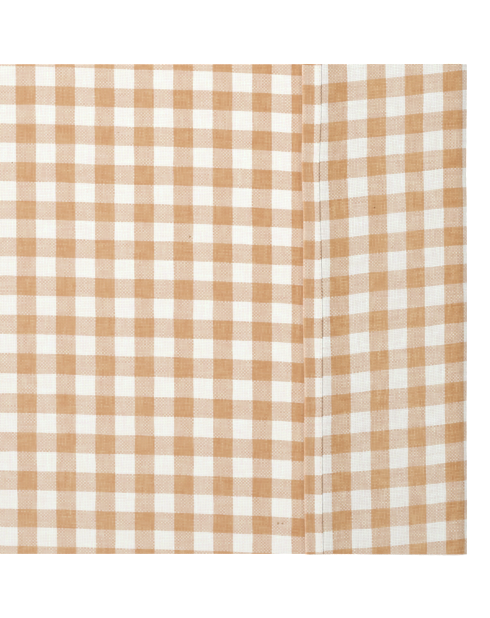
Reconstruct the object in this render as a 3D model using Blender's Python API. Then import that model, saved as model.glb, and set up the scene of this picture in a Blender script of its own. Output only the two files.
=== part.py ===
"""Checked curtain cloth: a cut length lying face up, one hemmed side folded back over its face.

The cloth is one sheet, so it is one solid. Its section, drawn in the XZ plane, starts at the cut
edge on the left and runs right along the surface it lies on, turns up and back at a soft fold,
runs left as the flap with the reverse uppermost, and ends in a side hem that is turned twice.
The section is carried along Y, the warp's way, while the fold, the flap's edge and the hem
wander a little. The underside is flat at z = 0, and the origin is the middle of the underside.
"""
import math

import bmesh
import bpy

MM = 0.001

# Driving sizes, in metres
CLOTH_WIDTH = 327.4 * MM       # cut edge to the outside of the fold
CLOTH_LENGTH = 311.5 * MM      # along the warp, cut edge to cut edge
THICKNESS = 1.0 * MM
LAYER_GAP = 0.4 * MM           # clear air between two layers that lie on each other

# The soft fold: a tight turn, a rising shoulder, a broad crest and a long slope down to the flap
FOLD_RADIUS = 0.95 * MM        # to the middle of the sheet, as every radius here
SHOULDER_ANGLE = math.radians(16.0)
SHOULDER_LENGTH = 3.0 * MM
CREST_RADIUS = 15.0 * MM
SLOPE_ANGLE = math.radians(2.5)

HEM_INNER_CLEARANCE = 1.5 * MM  # raw edge inside the hem, short of the hem's outer bend

# Heights of the middle of each layer
LAYER_PITCH = THICKNESS + LAYER_GAP
BED_HEIGHT = THICKNESS / 2
FLAP_HEIGHT = BED_HEIGHT + LAYER_PITCH
TURN_IN_HEIGHT = FLAP_HEIGHT + LAYER_PITCH
HEM_HEIGHT = TURN_IN_HEIGHT + LAYER_PITCH

# One row for each measured section, in millimetres, from the near end (-Y) to the far end (+Y)
SECTION_COLUMNS = ("along", "fold_in", "flap", "hem")
SECTIONS = (
    # along   how far the fold   fold to the    hem's
    #         stands in          flap's edge    width
    (0.0,     0.1,               103.2,         11.1),
    (34.0,    0.0,               104.0,         11.3),
    (66.0,    0.2,               103.9,         11.3),
    (116.0,   0.2,               103.8,         11.3),
    (139.0,   0.1,               104.6,         12.0),
    (187.0,   0.1,               104.6,         11.3),
    (215.0,   0.2,               104.5,         10.6),
    (244.0,   0.4,               105.3,         11.0),
    (286.0,   0.2,               105.0,         11.7),
    (311.5,   0.1,               105.4,         12.3),
)
STEPS_BETWEEN_SECTIONS = 2

CLOTH_COLOUR = (0.76, 0.62, 0.50, 1.0)   # the mean of the tan and the white checks, linear
CLOTH_ROUGHNESS = 0.9


class MidLine:
    """The middle of the sheet in section: points (x, z, heading), drawn by runs and turns."""

    def __init__(self, x, z):
        self.x, self.z, self.heading = x, z, 0.0
        self.points = [(x, z, 0.0)]

    def run(self, length):
        """Go straight on."""
        self.x += length * math.cos(self.heading)
        self.z += length * math.sin(self.heading)
        self.points.append((self.x, self.z, self.heading))

    def turn(self, radius, angle, steps):
        """Follow an arc; a positive angle turns anticlockwise, up from a run to the right."""
        side = math.copysign(1.0, angle)
        centre_x = self.x - side * radius * math.sin(self.heading)
        centre_z = self.z + side * radius * math.cos(self.heading)
        first = self.heading
        for step in range(1, steps + 1):
            self.heading = first + angle * step / steps
            self.x = centre_x + side * radius * math.sin(self.heading)
            self.z = centre_z - side * radius * math.cos(self.heading)
            self.points.append((self.x, self.z, self.heading))


def draw_fold(path, fold_edge):
    """The flat run to the fold, round it, over its crest and down to the flap's height."""
    path.run(fold_edge - THICKNESS / 2 - FOLD_RADIUS - path.x)
    path.turn(FOLD_RADIUS, math.pi - SHOULDER_ANGLE, 12)
    path.run(SHOULDER_LENGTH)
    path.turn(CREST_RADIUS, SHOULDER_ANGLE + SLOPE_ANGLE, 6)
    easing_drop = CREST_RADIUS * (1 - math.cos(SLOPE_ANGLE))
    path.run((path.z - FLAP_HEIGHT - easing_drop) / math.sin(SLOPE_ANGLE))
    path.turn(CREST_RADIUS, -SLOPE_ANGLE, 2)


def draw_hem(path, flap_edge, hem_width):
    """The flap's run to its edge, up and over onto itself, and the raw edge turned in below."""
    outer_radius = (HEM_HEIGHT - FLAP_HEIGHT) / 2
    inner_radius = (HEM_HEIGHT - TURN_IN_HEIGHT) / 2
    outer_centre = flap_edge + THICKNESS / 2 + outer_radius
    inner_centre = flap_edge + hem_width - THICKNESS / 2 - inner_radius
    path.run(path.x - outer_centre)
    path.turn(outer_radius, -math.pi, 10)
    path.run(inner_centre - outer_centre)
    path.turn(inner_radius, -math.pi, 8)
    path.run(inner_centre - outer_centre - HEM_INNER_CLEARANCE)


def section_points(row):
    """The sheet's face side and back side in section, two lists of (x, z) of one length."""
    fold_edge = CLOTH_WIDTH / 2 - row["fold_in"] * MM
    path = MidLine(-CLOTH_WIDTH / 2, BED_HEIGHT)
    draw_fold(path, fold_edge)
    draw_hem(path, fold_edge - row["flap"] * MM, row["hem"] * MM)
    half = THICKNESS / 2
    face = [(x - half * math.sin(a), z + half * math.cos(a)) for x, z, a in path.points]
    back = [(x + half * math.sin(a), z - half * math.cos(a)) for x, z, a in path.points]
    return face, back


def section_rows():
    """Every section, the named ones and the eased ones between them."""
    named = [dict(zip(SECTION_COLUMNS, row)) for row in SECTIONS]
    rows = [named[0]]
    for low, high in zip(named, named[1:]):
        for step in range(1, STEPS_BETWEEN_SECTIONS + 1):
            share = step / STEPS_BETWEEN_SECTIONS
            eased = (1 - math.cos(math.pi * share)) / 2
            row = {name: low[name] + (high[name] - low[name]) * eased for name in SECTION_COLUMNS}
            row["along"] = low["along"] + (high["along"] - low["along"]) * share
            rows.append(row)
    return rows


def loft_sheet(name):
    """Carry the section along Y and close the sheet at its cut edges and its ends."""
    bm = bmesh.new()
    sheets = []
    for row in section_rows():
        y = row["along"] * MM - CLOTH_LENGTH / 2
        face, back = section_points(row)
        sheets.append(([bm.verts.new((x, y, z)) for x, z in face],
                       [bm.verts.new((x, y, z)) for x, z in back]))
    last = len(sheets[0][0]) - 1
    for (face, back), (next_face, next_back) in zip(sheets, sheets[1:]):
        for i in range(last):
            bm.faces.new((face[i], face[i + 1], next_face[i + 1], next_face[i]))
            bm.faces.new((back[i], next_back[i], next_back[i + 1], back[i + 1]))
        bm.faces.new((face[0], next_face[0], next_back[0], back[0]))
        bm.faces.new((face[last], back[last], next_back[last], next_face[last]))
    (near_face, near_back), (far_face, far_back) = sheets[0], sheets[-1]
    for i in range(last):
        bm.faces.new((near_face[i], near_back[i], near_back[i + 1], near_face[i + 1]))
        bm.faces.new((far_face[i], far_face[i + 1], far_back[i + 1], far_back[i]))
    mesh = bpy.data.meshes.new(name)
    bm.to_mesh(mesh)
    bm.free()
    mesh.shade_smooth()
    mesh.set_sharp_from_angle(angle=math.radians(40.0))
    return mesh


def cloth_material():
    material = bpy.data.materials.new("checked_cloth")
    material.use_nodes = True
    shader = material.node_tree.nodes["Principled BSDF"]
    shader.inputs["Base Color"].default_value = CLOTH_COLOUR
    shader.inputs["Roughness"].default_value = CLOTH_ROUGHNESS
    shader.inputs["Metallic"].default_value = 0.0
    return material


def build():
    for old in list(bpy.data.objects):
        bpy.data.objects.remove(old)
    mesh = loft_sheet("curtain_cloth")
    mesh.materials.append(cloth_material())
    cloth = bpy.data.objects.new("curtain_cloth", mesh)
    bpy.context.scene.collection.objects.link(cloth)


build()
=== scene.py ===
import math

import bpy
import numpy as np
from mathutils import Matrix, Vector


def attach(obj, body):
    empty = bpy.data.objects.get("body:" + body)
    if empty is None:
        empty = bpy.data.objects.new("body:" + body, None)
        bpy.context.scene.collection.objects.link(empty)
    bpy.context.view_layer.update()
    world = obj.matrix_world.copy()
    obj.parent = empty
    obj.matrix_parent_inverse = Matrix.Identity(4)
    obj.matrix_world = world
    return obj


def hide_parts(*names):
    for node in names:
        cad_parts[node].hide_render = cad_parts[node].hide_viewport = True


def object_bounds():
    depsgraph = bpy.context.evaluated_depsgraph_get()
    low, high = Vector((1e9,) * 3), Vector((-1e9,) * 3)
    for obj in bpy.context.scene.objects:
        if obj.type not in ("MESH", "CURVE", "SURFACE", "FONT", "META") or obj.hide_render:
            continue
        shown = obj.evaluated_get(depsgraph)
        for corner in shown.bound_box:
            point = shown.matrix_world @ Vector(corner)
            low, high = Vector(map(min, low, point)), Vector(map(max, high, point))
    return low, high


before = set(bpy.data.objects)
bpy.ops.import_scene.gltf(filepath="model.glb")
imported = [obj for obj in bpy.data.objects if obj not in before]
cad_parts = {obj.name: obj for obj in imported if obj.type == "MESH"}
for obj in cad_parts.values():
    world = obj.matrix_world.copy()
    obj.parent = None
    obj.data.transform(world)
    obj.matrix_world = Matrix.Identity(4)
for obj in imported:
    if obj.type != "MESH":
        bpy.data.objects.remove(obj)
cadLow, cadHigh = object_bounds()
print("frame: loaded")

mm = 0.001
sharpAngle = math.radians(50)      # an edge that turns more than this is shaded sharp


def linearColour(code):
    # sRGB hex to linear, each channel c/12.92 up to 0.04045, else ((c + 0.055)/1.055)^2.4
    shares = [int(code[i:i + 2], 16) / 255 for i in (1, 3, 5)]
    return tuple(c / 12.92 if c <= 0.04045 else ((c + 0.055) / 1.055) ** 2.4 for c in shares) + (1.0,)


def addNode(tree, kind, inputs=None, **settings):
    # one node with its settings; an input takes a value, a socket, or a node, which stands for
    # that node's first live output
    node = tree.nodes.new("ShaderNode" + kind)
    for name, value in settings.items():
        setattr(node, name, value)
    for key, value in (inputs or {}).items():
        socket = node.inputs[key] if isinstance(key, int) else next(
            s for s in node.inputs if s.enabled and s.name == key)
        if isinstance(value, bpy.types.Node):
            value = next(s for s in value.outputs if s.enabled)
        if isinstance(value, bpy.types.NodeSocket):
            tree.links.new(value, socket)
        else:
            socket.default_value = value
    return node


def newMaterial(name):
    # a material with an empty node tree
    material = bpy.data.materials.new(name)
    material.use_nodes = True
    material.node_tree.nodes.clear()
    return material, material.node_tree


def smoothTable(at, stations, values):
    # a cubic through the rows of a table, with the slope at each row taken from its neighbours:
    # (2t^3 - 3t^2 + 1) a + (t^3 - 2t^2 + t) span slopeA + (3t^2 - 2t^3) b + (t^3 - t^2) span slopeB
    stations, values = np.asarray(stations, float), np.asarray(values, float)
    slopes = np.gradient(values, stations)
    low = np.clip(np.searchsorted(stations, at) - 1, 0, len(stations) - 2)
    span = stations[low + 1] - stations[low]
    t = np.clip((at - stations[low]) / span, 0, 1)
    return ((2 * t**3 - 3 * t**2 + 1) * values[low] + (t**3 - 2 * t**2 + t) * span * slopes[low]
            + (3 * t**2 - 2 * t**3) * values[low + 1] + (t**3 - t**2) * span * slopes[low + 1])


def meshPiece(name, points, faces, materials, faceMaterial=None, cornerMaps=None, pointDyeAndPaintedLight=None):
    # an object at the origin with its place in its mesh; faces are arrays of point numbers, one
    # for each count of corners; cornerMaps are UV maps by name, and the dye values per point become
    # a point attribute: how deep the dye took, and on the cloth also painted shade in the crease
    # beside the hem and a painted highlight round the flap's edge
    mesh = bpy.data.meshes.new(name)
    mesh.from_pydata(points.reshape(-1, 3).tolist(), [], [f for part in faces for f in part.tolist()])
    for material in materials:
        mesh.materials.append(material)
    if faceMaterial is not None:
        mesh.polygons.foreach_set("material_index", faceMaterial.astype(np.int32))
    for mapName, places in (cornerMaps or {}).items():
        mesh.uv_layers.new(name=mapName).uv.foreach_set("vector", places.astype(np.float32).ravel())
    if pointDyeAndPaintedLight is not None:
        dye = mesh.attributes.new("dyeAndPaintedLight", "FLOAT", "POINT")
        dye.data.foreach_set("value", pointDyeAndPaintedLight.astype(np.float32).ravel())
    mesh.shade_smooth()
    mesh.set_sharp_from_angle(angle=sharpAngle)
    mesh.update()
    piece = bpy.data.objects.new(name, mesh)
    bpy.context.scene.collection.objects.link(piece)
    return piece


# a plain-woven sheet, cut square, with its right side folded over and that side's hem turned twice
cloth = {
    "thickness": 0.36 * mm,
    "layerGap": 0.04 * mm,         # between layers that lie on each other
    "offFloor": 0.02 * mm,
    "foldRadius": 0.6 * mm,        # the soft fold, to the middle of the sheet
    "shoulderAngle": math.radians(20),
    "shoulderLength": 2.1 * mm,
    "crestRadius": 12 * mm,
    "slopeAngle": math.radians(1.8),
    "turnInShort": 1.5 * mm,       # raw edge inside the hem, short of its outer bend
    "rowSpacing": 3.2 * mm,
    "pastCad": 0.3 * mm,           # each cut end, past the collision solid's
    "flapLift": 0.25 * mm,         # how the flap stands off between the hem and the fold
    "shortOfFold": 6 * mm,         # from the fold's outside to where that lift ends
    "liftVaries": 0.4,             # it falls by twice this share in places, in a wave along the cloth
    "liftWave": 130 * mm,
    "liftPhase": 1.0,
    "puff": 0.36 * mm,             # how the flap puffs up beside the hem, highest this far from it
    "puffPlace": 2.2 * mm,
    "nip": 0.28 * mm,              # how far up the hem's inner bend it comes, and over what length
    "nipLength": 0.4 * mm,
    "stand": 0.3 * mm,             # how far the hemmed edge stands off, dying away over this width
    "standWidth": 4.5 * mm,
    "roll": 0.5 * mm,              # and how its unpressed roll puffs up, highest this far in
    "rollPlace": 1.6 * mm,
    "nearHem": 12 * mm,            # points stand closer within this of the hem, and closest within
    "besideHem": 3 * mm,           # this of its two edges
}

# how it lies at each distance from the near end, all in millimetres: how far the fold stands in,
# the flap's width from the fold to the hemmed edge, and the hem's width
lie = {
    "along": (0, 34, 66, 116, 139, 187, 215, 244, 286, 311.5),
    "foldIn": (0.4, 0.3, 0.5, 0.5, 0.4, 0.4, 0.5, 0.7, 0.5, 0.4),
    "flap": (102.9, 103.7, 103.6, 103.5, 104.3, 104.3, 104.2, 105.0, 104.7, 105.1),
    "hem": (11.35, 11.5, 11.55, 11.55, 12.3, 11.6, 10.8, 11.35, 12.0, 12.35),
}

# the slow unevenness of cloth laid down by hand: wave along x and along y, phase, height, in mm
layWaves = ((210, 340, 0.4, 0.18), (-120, 190, 2.1, 0.10), (75, -260, 4.0, 0.05), (310, -95, 1.2, 0.06))

# where the yarns run, counted in repeats of one tan and one white band, sizes in millimetres
yarnLie = {
    "warpRepeat": 25.0,
    "firstTan": -123.4,            # x where a tan warp band starts on the bed
    "tanPastFold": 1.95,           # along the cloth from the fold's outside to the flap's first tan
    "tanAtFold": 12,               # which tan band that is, counted from firstTan
    "flapRepeats": 4.203,          # from there to the flap's edge
    "hemRepeat": 24.4,             # and from that edge on round the hem
    "middleBand": 6,               # the tan weft band whose drop is given below
    # at each distance across the cloth from its cut edge: how far the top of that band lies below
    # the middle of the cloth, the weft repeat there, the warp's lean across the cloth for each
    # millimetre towards the near end, its even shift, and how deep the tan dye took
    "across": (0, 34, 71, 97, 146, 171, 219, 272, 331, 342, 355, 367, 380, 392, 404, 418, 438, 452),
    "drop": (3.9, 4.2, 4.95, 5.85, 7.0, 7.95, 10.25, 15.7, 21.7, 22.8, 24.2, 25.4, 26.6, 27.6, 28.7, 30.0,
             30.8, 31.1),
    "weftRepeat": (24.52,) * 7 + (24.68,) + (24.82,) * 10,
    "lean": (0.005, 0.0045, 0.003, 0.0025, 0.002, 0.0015, 0, 0, -0.005, -0.006, -0.0065, -0.0078,
             -0.0075, -0.0067, -0.0055, -0.005, -0.005, -0.005),
    "shift": (0, 0, 0, 0, 0, 0, 0, 0, 0.7, 0.75, 0.9, 0.1, -0.2, -0.4, 0, 0, 0, 0),
    "dyeAndPaintedLight": (0.98, 0.98, 0.98, 0.99, 1.03, 1.05, 1.13, 1.1, 1.09, 1.06, 0.98, 0.94, 0.97, 1.01, 1.05,
                 1.07, 1.06, 1.06),
    # painted shade and highlight, laid into the dye's depth: the tan is painted darker in the crease
    # beside the hem, on both its sides, where shade falls, and lighter round the flap's rolled edge, a
    # painted
    # highlight where the light catches it: which column, how far past it, by how much, how wide
    "paintedShadeAndHighlight": (("hemTop", 0.5, 1.3, 0.9), ("hemEnd", 0.0, 1.4, 0.45), ("edge", 0.35, -0.35, 0.45)),
    # the weft is beaten up tighter and looser along the cloth: each tan band, how much later it starts
    "band": (-2, -1, 0, 1, 2, 3, 4, 5, 6, 7, 8, 9, 10, 11, 12, 13),
    "beat": (0, 0.4, 0.5, 0.25, 0.3, 0.25, -0.7, -0.95, -0.6, -0.6, 0.45, 0.57, 0.7, 0.38, -0.7, -0.4),
    # the flap is pulled along too, by its fold and more by its hem: how much later the weft runs at
    # each of these bands, and between which distances across the fold's pull comes in and then
    # gives way to the hem's
    "pullBand": (-0.8, 0.2, 1.2, 2.2, 3.2, 4.2, 5.2, 6.2, 7.2, 8.2, 9.2, 10.2),
    "foldPull": (0, -0.38, -0.45, -0.41, -0.45, -0.2, 0.06, 0.38, 0.48, 0.5, 0.22, 0),
    "hemPull": (0.06, -0.13, -0.2, 0, 0, 0.5, 0.9, 1.0, 1.0, 0.5, -0.3, -0.6),
    "foldPullFrom": (331, 342),
    "hemPullFrom": (390, 405),
}

pitch = cloth["thickness"] + cloth["layerGap"]
bedHeight = cloth["offFloor"] + cloth["thickness"] / 2
flapHeight, turnInHeight, hemHeight = (bedHeight + pitch * layer for layer in (1, 2, 3))
hemOuterRadius = (hemHeight - flapHeight) / 2
hemInnerRadius = (hemHeight - turnInHeight) / 2


class MidLine:
    # the middle of the sheet in section, for every row at once: x and z are arrays over the rows
    def __init__(self, x, z):
        self.x, self.z, self.heading = x, z, 0.0
        self.columns = [(x, z, np.zeros_like(x))]

    def run(self, length, count):
        # straight on, (x + t length cos(heading), z + t length sin(heading)) for t from 0 to 1
        startX, startZ = self.x, self.z
        for t in np.arange(1, count + 1) / count:
            self.x = startX + t * length * math.cos(self.heading)
            self.z = startZ + t * length * math.sin(self.heading)
            self.columns.append((self.x, self.z, np.full_like(self.x, self.heading)))
        return len(self.columns) - 1

    def turn(self, radius, angle, count):
        # round (x - r sin(heading), z + r cos(heading)), with r negative for a turn to the right
        r = math.copysign(radius, angle)
        centreX, centreZ = self.x - r * math.sin(self.heading), self.z + r * math.cos(self.heading)
        start = self.heading
        for t in np.arange(1, count + 1) / count:
            self.heading = start + angle * t
            self.x = centreX + r * math.sin(self.heading)
            self.z = centreZ - r * math.cos(self.heading)
            self.columns.append((self.x, self.z, np.full_like(self.x, self.heading)))
        return len(self.columns) - 1


def lieAt(y, name):
    # the lie table at y, in metres
    return smoothTable((y - cadLow.y) / mm, lie["along"], lie[name]) * mm


def layLift(x, y):
    # sum over the long waves of height (1 + cos(2 pi (x/a + y/b) + phase))/2, so never below 0
    lift = np.zeros(np.broadcast(x, y).shape)
    for a, b, phase, height in layWaves:
        lift += height * mm * (1 + np.cos(2 * np.pi * (x / mm / a + y / mm / b) + phase)) / 2
    return lift


def flapLift(x, y):
    # how far the flap stands off: the lift sin^2(pi t) with t from 0 at the hem to 1 near the fold,
    # more in places, 1 - v + v cos(2 pi y/wave + phase), the puff (d/p) exp(1 - d/p), d from the
    # hem, and the nip, (1 + d/n)^2 up to the hem's inner edge and exp(-d/p) past it
    foldEdge = cadHigh.x - lieAt(y, "foldIn")
    hemEnd = foldEdge - lieAt(y, "flap") + lieAt(y, "hem")
    under = np.clip(1 + (x - hemEnd) / cloth["nipLength"], 0, 1)**2
    d = np.maximum(x - hemEnd, 0)
    t = np.clip(d / (foldEdge - cloth["shortOfFold"] - hemEnd), 0, 1)
    varies = cloth["liftVaries"]
    inPlaces = 1 - varies + varies * np.cos(2 * np.pi * y / cloth["liftWave"] + cloth["liftPhase"])
    past = d / cloth["puffPlace"]
    return (cloth["flapLift"] * np.sin(np.pi * t)**2 * inPlaces
            + cloth["puff"] * past * np.exp(1 - past) + cloth["nip"] * under * np.exp(-past))


# the hem's row of lockstitches, in fine pale thread
stitches = {
    "fromHemEdge": 1.0 * mm,
    "pitch": 2.8 * mm,
    "length": 2.35 * mm,
    "thread": 0.24 * mm,
    "sunk": 0.03 * mm,             # how far the thread's middle lies below the cloth's top
    "dent": 0.12 * mm,             # the trough that the thread draws in the hem
    "dentWidth": 0.9 * mm,
    "dive": 0.14 * mm,             # how far each stitch's ends go down into the cloth
    "taper": 0.9,                  # how much of its section the thread loses there
    "sway": 0.05 * mm,             # of the row from its line, in waves of 2 pi times swayLength
    "swayLength": 7 * mm,
    "around": 8,
    "alongEach": 9,
}


def stitchLine(y):
    # x of the stitch line: the hem's inner edge less the stitches' distance from it
    return (cadHigh.x - lieAt(y, "foldIn") - lieAt(y, "flap") + lieAt(y, "hem")
            - stitches["fromHemEdge"])


def hemLift(x, z, y):
    # stand exp(-(d/w)^2) with d from the flap's edge, then what the top layer takes whole, the lowest
    # not at all: the roll (d/p) exp(1 - d/p), and dent (1 - exp(-(s/w)^2)) with s from the stitches
    d = x - (cadHigh.x - lieAt(y, "foldIn") - lieAt(y, "flap"))
    past = np.maximum(d, 0) / cloth["rollPlace"]
    share = np.clip((z - flapHeight) / (hemHeight - flapHeight), 0, 1)
    trough = np.exp(-((x - stitchLine(y)) / stitches["dentWidth"])**2)
    return (cloth["stand"] * np.exp(-(d / cloth["standWidth"])**2)
            + share * (cloth["roll"] * past * np.exp(1 - past) + stitches["dent"] * (1 - trough)))


def drawSection(y):
    # cut edge, bed, soft fold, flap, round its edge, hem over, and the raw edge turned in under it.
    # Each run and turn also says how many points it gets
    foldEdge = cadHigh.x - lieAt(y, "foldIn")
    flapEdge = foldEdge - lieAt(y, "flap")
    half, radius, crest = cloth["thickness"] / 2, cloth["foldRadius"], cloth["crestRadius"]
    shoulder, slope = cloth["shoulderAngle"], cloth["slopeAngle"]
    line = MidLine(np.full_like(y, cadLow.x), np.full_like(y, bedHeight))
    at = {}
    line.run(foldEdge - half - radius - line.x, 96)
    at["fold"] = line.turn(radius, math.pi / 2, 9)
    line.turn(radius, math.pi / 2 - shoulder, 8)
    line.run(cloth["shoulderLength"], 3)
    at["crest"] = line.turn(crest, shoulder + slope, 10)
    easing = crest * (1 - math.cos(slope))
    line.run((line.z - flapHeight - easing) / math.sin(slope), 24)
    line.turn(crest, -slope, 2)
    hemEnd = flapEdge + lieAt(y, "hem")
    outer, inner = flapEdge + half + hemOuterRadius, hemEnd - half - hemInnerRadius
    line.run(line.x - hemEnd - cloth["nearHem"], 8)
    line.run(cloth["nearHem"] - cloth["besideHem"], 8)
    at["hemEnd"] = line.run(cloth["besideHem"], 8)
    at["underHem"] = line.run(cloth["nipLength"], 5)
    line.run(line.x - outer, 8)
    at["edge"] = line.turn(hemOuterRadius, -math.pi / 2, 8)
    line.turn(hemOuterRadius, -math.pi / 2, 7)
    line.run(cloth["besideHem"], 10)
    line.run(inner - outer - 2 * cloth["besideHem"], 6)
    at["hemTop"] = line.run(cloth["besideHem"], 12)
    line.turn(hemInnerRadius, -math.pi, 12)
    line.run(inner - outer - cloth["turnInShort"], 8)
    x, z, heading = (np.stack(part, 1) for part in zip(*line.columns))
    return x, z, heading, at, flapEdge


def countYarns(y, distance, at, flapEdge):
    # warp and weft counts at every point, in repeats, and how deep the tan dye took, a power of its
    # colour, with painted shade added in the crease beside the hem and a painted highlight round the
    # flap's edge. The warp's adds up (distance)/(repeat) over the bed as far as under the flap's edge,
    # then evenly to the tan band past the fold, evenly to the flap's edge, and on round the hem, less
    # its lean and shift. The weft's is middle + (down - drop - beat - pull)/(repeat)
    across = distance / mm
    down = -y / mm
    repeat = yarnLie["warpRepeat"]
    underEdge = (flapEdge - cadLow.x)[:, None] / mm
    pastFold = across[:, [at["fold"]]] + yarnLie["tanPastFold"]
    atEdge = across[:, [at["edge"]]]
    atCut = (cadLow.x / mm - yarnLie["firstTan"]) / repeat
    hidden = yarnLie["tanAtFold"] - atCut - underEdge / repeat
    warp = (atCut + np.minimum(across, underEdge) / repeat
            + hidden * np.clip((across - underEdge) / (pastFold - underEdge), 0, 1)
            + yarnLie["flapRepeats"] * np.clip((across - pastFold) / (atEdge - pastFold), 0, 1)
            + np.maximum(across - atEdge, 0) / yarnLie["hemRepeat"])
    lean = smoothTable(across, yarnLie["across"], yarnLie["lean"])
    shift = smoothTable(across, yarnLie["across"], yarnLie["shift"])
    warp -= (lean * down + shift) / repeat
    weftRepeat = smoothTable(across, yarnLie["across"], yarnLie["weftRepeat"])
    drop = smoothTable(across, yarnLie["across"], yarnLie["drop"])
    weft = yarnLie["middleBand"] + (down - drop) / weftRepeat
    beat = smoothTable(weft, yarnLie["band"], yarnLie["beat"])
    foldPull = smoothTable(weft, yarnLie["pullBand"], yarnLie["foldPull"])
    hemPull = smoothTable(weft, yarnLie["pullBand"], yarnLie["hemPull"])
    beat += foldPull * np.interp(across, yarnLie["foldPullFrom"], (0, 1))
    beat += (hemPull - foldPull) * np.interp(across, yarnLie["hemPullFrom"], (0, 1))
    weft -= beat / weftRepeat
    dyeAndPaintedLight = smoothTable(across, yarnLie["across"], yarnLie["dyeAndPaintedLight"])
    # painted shade in the crease and a painted highlight round the flap's edge: deeper, or lighter
    # where the amount is below 0, by amount exp(-((distance - place)/width)^2) at each turn
    for column, past, amount, width in yarnLie["paintedShadeAndHighlight"]:
        dyeAndPaintedLight += amount * np.exp(-((across - across[:, [at[column]]] - past) / width)**2)
    return np.stack([warp, weft], 2), dyeAndPaintedLight


def gridQuads(numbers):
    # quads over a grid of point numbers, facing up where the columns run to +x and the rows to +y
    near, far = numbers[:-1], numbers[1:]
    return np.stack([near[:, :-1], near[:, 1:], far[:, 1:], far[:, :-1]], 2).reshape(-1, 4)


def rimQuads(first, second):
    # quads between two lines of point numbers
    return np.stack([first[:-1], first[1:], second[1:], second[:-1]], 1)


# the square that the finishes are baked on, in shares of its side
bakeSquare = {
    "margin": 0.005,               # left and right
    "backAt": 0.02,
    "faceAt": 0.50,
    "sideHeight": 0.44,
    "rimsFrom": 0.945,
    "rimPitch": 0.013,
    "rimHeight": 0.005,
}


def bakePlaces(distance, y, sideQuads, backQuads, rims):
    # the square holds the face above the back, each with its distance across as u and its y as v,
    # and above them a strip for each rim, with the rim's length as u
    margin = bakeSquare["margin"]
    u = margin + (1 - 2 * margin) * distance / distance[:, [-1]]
    v = bakeSquare["sideHeight"] * (y - y[0]) / (y[-1] - y[0])
    facePlaces, backPlaces = (np.stack([u, v + bakeSquare[start]], 2).reshape(-1, 2)
                              for start in ("faceAt", "backAt"))
    places = [facePlaces[sideQuads], backPlaces[backQuads - u.size]]
    for number, rim in enumerate(rims):
        along = np.linspace(margin, 1 - margin, len(rim) + 1)
        low = bakeSquare["rimsFrom"] + bakeSquare["rimPitch"] * number
        high = low + bakeSquare["rimHeight"]
        places.append(np.stack([
            np.stack([along[:-1], along[1:], along[1:], along[:-1]], 1),
            np.broadcast_to((low, low, high, high), (len(rim), 4))], 2))
    return np.concatenate(places)


def makeCloth(materials):
    # the section carried along y, its two sides set off by half the thickness each way, closed
    # at the cut edges
    rows = int(round((cadHigh.y - cadLow.y) / cloth["rowSpacing"])) + 1
    y = np.linspace(cadLow.y - cloth["pastCad"], cadHigh.y + cloth["pastCad"], rows)
    x, z, heading, at, flapEdge = drawSection(y)
    steps = np.hypot(np.diff(x, axis=1), np.diff(z, axis=1))
    distance = np.concatenate([np.zeros((rows, 1)), np.cumsum(steps, 1)], 1)
    y = np.repeat(y[:, None], x.shape[1], 1)
    yarnCounts, dyeAndPaintedLight = countYarns(y, distance, at, flapEdge)
    hem = slice(at["hemEnd"], None)
    z[:, hem] += hemLift(x[:, hem], z[:, hem], y[:, hem])
    flap = slice(at["crest"], at["underHem"] + 1)
    z[:, flap] += flapLift(x[:, flap], y[:, flap])
    z += layLift(x, y)
    half = cloth["thickness"] / 2
    offset = np.stack([-np.sin(heading), np.zeros_like(x), np.cos(heading)], 2) * half
    middle = np.stack([x, y, z], 2)
    top, under = np.arange(2 * x.size).reshape(2, *x.shape)
    sideQuads, backQuads = gridQuads(top), gridQuads(under)[:, ::-1]
    rims = (rimQuads(top[:, 0], under[:, 0]), rimQuads(under[:, -1], top[:, -1]),
            rimQuads(under[0], top[0]), rimQuads(top[-1], under[-1]))
    quads = np.concatenate([sideQuads, backQuads, *rims])
    faceMaterial = np.zeros(len(quads))
    faceMaterial[len(sideQuads):len(sideQuads) + len(backQuads)] = 1
    yarnPlaces = np.concatenate([yarnCounts.reshape(-1, 2)] * 2)[quads]
    cornerMaps = {"yarns": yarnPlaces, "OFBake": bakePlaces(distance, y, sideQuads, backQuads, rims)}
    piece = meshPiece("checked_cloth", np.stack([middle + offset, middle - offset]), [quads], materials,
                      faceMaterial, cornerMaps, np.stack([dyeAndPaintedLight, dyeAndPaintedLight]))
    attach(piece, "root")
    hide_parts("curtain_cloth")

    def topAt(x0, y0):
        # height of the cloth's upper side at one place, on the flap where it is right of the hem
        row = int(round((rows - 1) * (y0 - y[0, 0]) / (y[-1, 0] - y[0, 0])))
        span = slice(at["crest"], at["hemEnd"] + 1) if x0 > x[row, at["hemEnd"]] else slice(0, at["fold"])
        way = -1 if span.start else 1
        return half + np.interp(x0, x[row, span][::way], z[row, span][::way])

    cutWidth = float(distance[rows // 2, -1])
    print(f"cloth: {len(quads)} quads, cut {cutWidth / mm:.1f} mm wide")
    return piece, cutWidth, topAt


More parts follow.
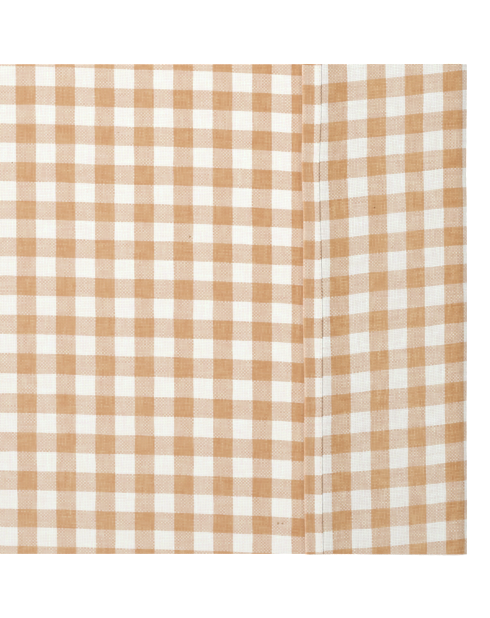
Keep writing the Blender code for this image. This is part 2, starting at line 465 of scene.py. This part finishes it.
def makeStitches(material):
    # each stitch is a tube whose middle is (line, y, top - sunk - dive (2t - 1)^4) for t from 0 to 1
    # and whose radius is thread/2 sqrt(1 - taper (2t - 1)^6), so its ends go into the cloth. The row
    # sways by sway sin(y/swayLength)
    count = int((cadHigh.y - cadLow.y) / stitches["pitch"])
    first = (cadLow.y + cadHigh.y - (count - 1) * stitches["pitch"]) / 2
    around, along = stitches["around"], stitches["alongEach"]
    centre = first + np.arange(count)[:, None, None] * stitches["pitch"]
    t = np.linspace(0, 1, along)[None, :, None]
    angle = np.linspace(0, 2 * np.pi, around, endpoint=False)[None, None, :]
    y = centre + (t - 0.5) * stitches["length"] + 0 * angle
    sway = stitches["sway"] * np.sin(centre / stitches["swayLength"])
    top = (hemHeight + cloth["thickness"] / 2 + layLift(stitchLine(y), y)
           + hemLift(stitchLine(y), hemHeight, y))
    radius = stitches["thread"] / 2 * np.sqrt(1 - stitches["taper"] * (2 * t - 1)**6)
    x = stitchLine(y) + sway + radius * np.cos(angle)
    z = top - stitches["sunk"] - stitches["dive"] * (2 * t - 1)**4 + radius * np.sin(angle)
    numbers = np.arange(count * along * around).reshape(count, along, around)
    turned = np.roll(numbers, -1, axis=2)
    quads = np.stack([numbers[:, :-1], numbers[:, 1:], turned[:, 1:], turned[:, :-1]], 3).reshape(-1, 4)
    piece = meshPiece("hem_stitches", np.stack([x, y, z], 3),
                      [quads, numbers[:, 0], numbers[:, -1, ::-1]], [material])
    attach(piece, "root")
    print(f"stitches: {count}")
    return piece


# spun yarn carries small darker knots of fibre. Place x and y, length and width in mm, turn in
# degrees, and how dark, as a power of the fibre's colour
neps = {
    "places": ((104.5, 64.7, 1.0, 0.75, 80, 1.5), (43.1, -136.5, 1.7, 1.4, 70, 0.75),
               (45.9, -136.6, 1.5, 1.1, 10, 0.75), (-58.6, 112.4, 1.3, 0.5, 5, 0.8),
               (-126.1, 93.3, 1.0, 0.7, 50, 1.0), (-13.1, 46.1, 1.7, 1.2, 20, 0.8),
               (115.6, 39.2, 1.3, 0.6, 90, 0.7)),
    "height": 0.12 * mm,
    "crown": 0.12,                 # the first and the last ring's angle from upright, in radians
    "skirt": 1.75,
    "ragged": ((0.18, 3, 9), (0.12, 5, 7)),
    "around": 10,
    "rings": 5,
}


def makeNeps(material, topAt):
    # a low dome for each: place + turn (length/2 r cos(a), width/2 r sin(a)) with r = ragged sin(b)
    # and height cos(b), b from near 0 at the crown to a little past 90 degrees. Its outline is ragged
    # by 1 + the sum of each (size, lobes, rate)'s size sin(lobes a + rate place), the place in mm
    size = np.array(neps["places"]) * (mm, mm, mm, mm, math.pi / 180, 1)
    a = np.linspace(0, 2 * np.pi, neps["around"], endpoint=False)[None, None, :]
    b = np.linspace(neps["crown"], neps["skirt"], neps["rings"])[None, :, None]
    x0, y0, length, width, turn, dark = (column[:, None, None] for column in size.T)
    ragged = 1 + sum(share * np.sin(lobes * a + rate * place / mm)
                     for (share, lobes, rate), place in zip(neps["ragged"], (x0, y0)))
    across, up = length / 2 * ragged * np.sin(b) * np.cos(a), width / 2 * ragged * np.sin(b) * np.sin(a)
    x = x0 + across * np.cos(turn) - up * np.sin(turn)
    y = y0 + across * np.sin(turn) + up * np.cos(turn)
    top = np.array([topAt(*place) for place in size[:, :2]])[:, None, None]
    z = top + neps["height"] * np.cos(b) + 0 * a
    numbers = np.arange(x.size).reshape(x.shape)
    turned = np.roll(numbers, -1, axis=2)
    quads = np.stack([numbers[:, :-1], numbers[:, 1:], turned[:, 1:], turned[:, :-1]], 3).reshape(-1, 4)
    piece = meshPiece("yarn_neps", np.stack([x, y, z], 3),
                      [quads, numbers[:, 0], numbers[:, -1, ::-1]], [material], pointDyeAndPaintedLight=dark + 0 * x)
    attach(piece, "root")
    print(f"neps: {len(size)}")
    return piece


# yarn-dyed cotton and linen in plain weave
weave = {
    # yarns to a repeat of 25 mm by 24.5 mm. The real cloth has 38, or 0.65 mm from yarn to yarn,
    # drawn here at 1.04 mm so that the hatch still shows from above
    "warpYarns": 24,
    "weftYarns": 24,
    "weftRepeat": 24.5,            # of one tan and one white band, mm. The warp's is in yarnLie
    # each float drawn stands for nearly two, so it takes on part of its neighbour's colour, more
    # in some patches than in others: how much more it has of its own, from and to, and how many
    # patches there are to a repeat
    "ownShare": (0.05, 0.5),
    "patches": 5.0,
    "white": "#f1f0ea",
    "throughWhite": 0.18,          # how much of a tan yarn shows through a white one over it
    "floatBlend": 0.2,             # how softly one float gives way to the next
    "slubLength": 12.0,            # of thick and thin places along a yarn, mm
    "slubStep": 1.7,               # in the noise from one yarn to the next, far enough to differ
    "slubsApart": 11.0,            # in the noise, the warp's from the weft's
    "relief": 0.12 * mm,           # of a float's knob
    "wander": 0.9,                 # of the yarns about their even places, in yarns
    "wanderScale": 1.6,            # its waves to a repeat
}

# what differs from side to side: the reverse is a shade duller, and rougher
face = {
    "turned": 1,                   # and -1 on the reverse, where every float is the other yarn's
    "tan": "#d3a77d",
    "warpLead": 0.045,             # a warp float is a little wider than a weft float, by this share
    "bright": 1.0,
    "brightSpread": 0.025,         # thick places are darker and thin ones lighter by this share
    "depthSpread": 0.25,           # of the dye, as a power of its colour
    "tint": 0.09,                  # how far a yarn's red, green and blue stray, by share
    "poreShade": 0.25,              # painted shade in the gaps at the floats' corners, how dark
    "seed": 0.0,
}
reverse = {
    "turned": -1,
    "tan": "#d5a87a",
    "warpLead": 0.065,
    "bright": 0.93,
    "brightSpread": 0.07,
    "depthSpread": 0.28,
    "tint": 0.09,
    "poreShade": 0.4,
    "seed": 31.0,
}


def makeWeave(name, side):
    # plain weave of spun yarn: matt, each float a small soft knob, so the eye gets a flat colour
    # where the yarns match and a fine hatch where tan crosses white
    material, tree = newMaterial(name)
    counts = addNode(tree, "UVMap", uv_map="yarns")
    even = addNode(tree, "VectorMath", {0: counts, 1: (weave["warpYarns"], weave["weftYarns"], 0)},
                   operation="MULTIPLY")
    drift = addNode(tree, "TexNoise", {"Vector": counts, "Scale": weave["wanderScale"], "Detail": 3.0,
                                       "Roughness": 0.55}, noise_dimensions="2D")
    wander = addNode(tree, "VectorMath", {
        0: drift.outputs["Color"], 1: (weave["wander"],) * 3, 2: (-weave["wander"] / 2,) * 3},
        operation="MULTIPLY_ADD")
    yarns = addNode(tree, "VectorMath", {0: even, 1: wander}, operation="ADD")
    angles = addNode(tree, "VectorMath", {0: yarns, "Scale": math.pi}, operation="SCALE")
    swing = addNode(tree, "SeparateXYZ", {0: addNode(tree, "VectorMath", {0: angles}, operation="SINE")})
    # warp over weft where sin(pi u) sin(pi v) is above 0, and the other way round on the reverse
    crossing = addNode(tree, "Math", {0: swing.outputs[0], 1: swing.outputs[1]}, operation="MULTIPLY")
    blend = side["turned"] * weave["floatBlend"]
    warpUp = addNode(tree, "MapRange", {"Value": crossing, "From Min": -blend, "From Max": blend},
                     interpolation_type="SMOOTHSTEP")
    repeats = addNode(tree, "VectorMath", {0: yarns, 1: (weave["warpYarns"], weave["weftYarns"], 1)},
                      operation="DIVIDE")
    # a yarn is tan in the first half of each repeat
    inRepeat = addNode(tree, "VectorMath", {0: repeats}, operation="FRACTION")
    bands = addNode(tree, "SeparateXYZ", {0: inRepeat})
    tanWarp, tanWeft = (addNode(tree, "Math", {0: bands.outputs[i], 1: 0.5}, operation="LESS_THAN")
                        for i in (0, 1))
    # tan share of a float: 1 for a tan yarn, and for a white one what shows through it
    seen = []
    for own, other in ((tanWarp, tanWeft), (tanWeft, tanWarp)):
        through = addNode(tree, "Math", {0: other, 1: weave["throughWhite"]}, operation="MULTIPLY")
        seen.append(addNode(tree, "Math", {0: own, 1: through}, operation="MAXIMUM"))
    patch = addNode(tree, "TexNoise", {"Vector": counts, "Scale": weave["patches"], "Detail": 1.0},
                    noise_dimensions="2D")
    ownShare = addNode(tree, "MapRange", {
        "Value": patch, "From Min": 0.35, "From Max": 0.65,
        "To Min": weave["ownShare"][0], "To Max": weave["ownShare"][1]})
    over = addNode(tree, "Math", {0: warpUp, 1: 0.5}, operation="SUBTRACT")
    warpShare = addNode(tree, "Math", {0: over, 1: ownShare, 2: 0.5 + side["warpLead"]},
                        operation="MULTIPLY_ADD")
    tanShare = addNode(tree, "Mix", {"Factor": warpShare, "A": seen[1], "B": seen[0]})
    dyed = addNode(tree, "Mix", {
        "Factor": tanShare, "A": linearColour(weave["white"]), "B": linearColour(side["tan"])},
        data_type="RGBA")
    # each yarn took the dye its own way, with thick and thin places along it. A warp yarn runs along v
    # past the weft's yarns, and a weft yarn along u past the warp's
    whole = addNode(tree, "VectorMath", {0: yarns}, operation="FLOOR")
    warpPitch = yarnLie["warpRepeat"] / weave["warpYarns"]
    weftPitch = weave["weftRepeat"] / weave["weftYarns"]
    slubs = []
    for along, pitchAlong in ((1, weftPitch), (0, warpPitch)):
        stretch = [weave["slubStep"], weave["slubStep"], 1.0]
        stretch[along] = pitchAlong / weave["slubLength"]
        place = addNode(tree, "CombineXYZ", {
            along: addNode(tree, "SeparateXYZ", {0: yarns}).outputs[along],
            1 - along: addNode(tree, "SeparateXYZ", {0: whole}).outputs[1 - along],
            2: side["seed"] + weave["slubsApart"] * along})
        scaled = addNode(tree, "VectorMath", {0: place, 1: stretch}, operation="MULTIPLY")
        slubs.append(addNode(tree, "TexNoise", {"Vector": scaled, "Scale": 1.0, "Detail": 2.0}))
    warpSlub, weftSlub = slubs
    slub = addNode(tree, "Mix", {"Factor": warpUp, "A": weftSlub.outputs[0], "B": warpSlub.outputs[0]})
    tint = addNode(tree, "Mix", {"Factor": warpUp, "A": weftSlub.outputs[1], "B": warpSlub.outputs[1]},
                   data_type="RGBA")
    depth = addNode(tree, "MapRange", {
        "Value": slub, "From Min": 0.25, "From Max": 0.75,
        "To Min": 1 - side["depthSpread"], "To Max": 1 + side["depthSpread"]})
    # the cloth's own depth of dye, with the painted shade in the crease and the painted highlight
    # round the flap's edge, acts on the tan alone: power 1 + (depth - 1) tanShare
    dyeAndPaintedLight = addNode(tree, "Attribute", attribute_name="dyeAndPaintedLight")
    more = addNode(tree, "Math", {0: dyeAndPaintedLight.outputs["Fac"], 1: 1.0}, operation="SUBTRACT")
    where = addNode(tree, "Math", {0: more, 1: tanShare, 2: 1.0}, operation="MULTIPLY_ADD")
    fullDepth = addNode(tree, "Math", {0: depth, 1: where}, operation="MULTIPLY")
    yarnColour = addNode(tree, "Gamma", {"Color": dyed, "Gamma": fullDepth})
    shade = addNode(tree, "MapRange", {
        "Value": slub, "From Min": 0.25, "From Max": 0.75,
        "To Min": side["bright"] * (1 + side["brightSpread"]),
        "To Max": side["bright"] * (1 - side["brightSpread"])})
    # the corners between four floats are pores in painted shade: 1 - dark (1 - |sin pi u|)(1 - |sin pi
    # v|)
    gaps = []
    for axis in (0, 1):
        size = addNode(tree, "Math", {0: swing.outputs[axis]}, operation="ABSOLUTE")
        gaps.append(addNode(tree, "Math", {0: 1.0, 1: size}, operation="SUBTRACT"))
    pore = addNode(tree, "Math", {0: gaps[0], 1: gaps[1]}, operation="MULTIPLY")
    lit = addNode(tree, "Math", {0: pore, 1: -side["poreShade"], 2: 1.0}, operation="MULTIPLY_ADD")
    tone = addNode(tree, "Math", {0: lit, 1: shade}, operation="MULTIPLY")
    toned = addNode(tree, "VectorMath", {0: yarnColour, "Scale": tone}, operation="SCALE")
    tinting = addNode(tree, "VectorMath", {
        0: tint, 1: (2 * side["tint"],) * 3, 2: (1 - side["tint"],) * 3}, operation="MULTIPLY_ADD")
    colour = addNode(tree, "VectorMath", {0: toned, 1: tinting}, operation="MULTIPLY")
    knob = addNode(tree, "Math", {0: crossing}, operation="ABSOLUTE")
    relief = addNode(tree, "Bump", {"Height": knob, "Strength": 0.25, "Distance": weave["relief"]})
    shader = addNode(tree, "BsdfPrincipled", {
        "Base Color": colour, "Normal": relief, "Roughness": 0.92, "Specular IOR Level": 0.2,
        "Sheen Weight": 0.08, "Sheen Roughness": 0.6})
    addNode(tree, "OutputMaterial", {"Surface": shader})
    return material


def makeThread():
    # mercerised cotton thread: finer and a little glossier than the cloth, two plies twisted, which
    # show as slanting stripes. A diagonal wave texture is sin(10 scale (x + y + z))
    material, tree = newMaterial("sewing_thread")
    plyPitch = 0.8 * mm
    place = addNode(tree, "TexCoord")
    ply = addNode(tree, "TexWave", {
        "Vector": place.outputs["Object"], "Scale": 2 * math.pi / 10 / plyPitch},
        bands_direction="DIAGONAL")
    colour = addNode(tree, "Mix", {
        "Factor": ply.outputs[1], "A": linearColour("#dcc9b0"), "B": linearColour("#eadcc8")},
        data_type="RGBA")
    shader = addNode(tree, "BsdfPrincipled", {
        "Base Color": colour, "Roughness": 0.6, "Specular IOR Level": 0.35})
    addNode(tree, "OutputMaterial", {"Surface": shader})
    return material


def makeNep():
    # tangled brown fibre, so matt and mottled
    material, tree = newMaterial("nep_fibre")
    tangleSize = 0.3 * mm
    place = addNode(tree, "TexCoord")
    tangle = addNode(tree, "TexNoise", {"Vector": place.outputs["Object"], "Scale": 1 / tangleSize})
    colour = addNode(tree, "Mix", {
        "Factor": tangle.outputs[0], "A": linearColour("#8a6238"), "B": linearColour("#b98d5f")},
        data_type="RGBA")
    dark = addNode(tree, "Attribute", attribute_name="dyeAndPaintedLight")
    dyed = addNode(tree, "Gamma", {"Color": colour, "Gamma": dark.outputs["Fac"]})
    shader = addNode(tree, "BsdfPrincipled", {"Base Color": dyed, "Roughness": 0.95})
    addNode(tree, "OutputMaterial", {"Surface": shader})
    return material


checkedCloth, cutWidth, topAt = makeCloth([
    makeWeave("woven_check_face", face), makeWeave("woven_check_reverse", reverse)])
makeStitches(makeThread())
makeNeps(makeNep(), topAt)

# a white board under softboxes: the stronger one at the left, a weaker one at the right, and one
# overhead that favours the far side. Each share is of the light that falls on the flat cloth
studio = {
    "floorSize": 12.0,
    "floorGlow": 0.5,              # the board is lit for itself too, so it stays white by the cloth
    "level": 1.11,                 # what a perfect white lying flat sends back
    "airShare": 0.18,              # from the white room all round
    "softboxes": {
        # share, place, size, all in metres
        "left_softbox": (0.39, (-3.6, 1.1, 2.9), 2.2),
        "right_softbox": (0.15, (3.02, 1.1, 2.42), 1.6),
        "overhead_softbox": (0.28, (0.02, 0.13, 0.7), 0.3),
    },
}


def makeFloor():
    # matt white board, lit well enough to stay white in the cloth's shadow
    material, tree = newMaterial("white_board")
    white = linearColour("#f8f8f7")
    shader = addNode(tree, "BsdfPrincipled", {
        "Base Color": white, "Roughness": 0.8, "Specular IOR Level": 0.1,
        "Emission Color": white, "Emission Strength": studio["floorGlow"]})
    addNode(tree, "OutputMaterial", {"Surface": shader})
    corner = studio["floorSize"] / 2
    points = corner * np.array([(-1, -1, 0), (1, -1, 0), (1, 1, 0), (-1, 1, 0)])
    floor = meshPiece("white_floor", points, [np.array([[0, 1, 2, 3]])], [material])


def placeSoftbox(name, share, place, size):
    # a round lamp aimed at the cloth. For a share s of the level l it needs pi^2 l s d^2 / sin(height
    # angle) watts at the distance d. It isn't seen itself, since one hangs in the camera's view
    lamp = bpy.data.lights.new(name, "AREA")
    lamp.shape, lamp.size = "DISK", size
    place = Vector(place)
    lamp.energy = math.pi**2 * studio["level"] * share * place.length**3 / place.z
    softbox = bpy.data.objects.new(name, lamp)
    bpy.context.scene.collection.objects.link(softbox)
    softbox.location = place
    softbox.rotation_euler = place.to_track_quat("Z", "Y").to_euler()
    softbox.visible_camera = False


makeFloor()
for name, (share, place, size) in studio["softboxes"].items():
    placeSoftbox(name, share, place, size)
world = bpy.data.worlds.new("studio")
world.use_nodes = True
air = world.node_tree.nodes["Background"]
air.inputs["Color"].default_value = (1, 1, 1, 1)
air.inputs["Strength"].default_value = studio["level"] * studio["airShare"]
bpy.context.scene.world = world
bpy.context.scene.view_settings.view_transform = "Standard"
print("studio: floor and lights")

# straight above, framed on the fold's side of the cloth, so the cut edge at the left is out of view
view = {
    "middle": (22.0 * mm, 0.0),
    "height": 1.3,
    "frameLength": 393.7 * mm,     # of the frame's long side, at the cloth
    "sensor": 36.0,
    "clip": (0.05, 50.0),
}

lens = bpy.data.cameras.new("overhead")
lens.sensor_width = view["sensor"]
lens.lens = view["sensor"] * view["height"] / view["frameLength"]
lens.clip_start, lens.clip_end = view["clip"]
overhead = bpy.data.objects.new("overhead", lens)
bpy.context.scene.collection.objects.link(overhead)
overhead.location = (*view["middle"], view["height"] + bedHeight)
bpy.context.scene.camera = overhead
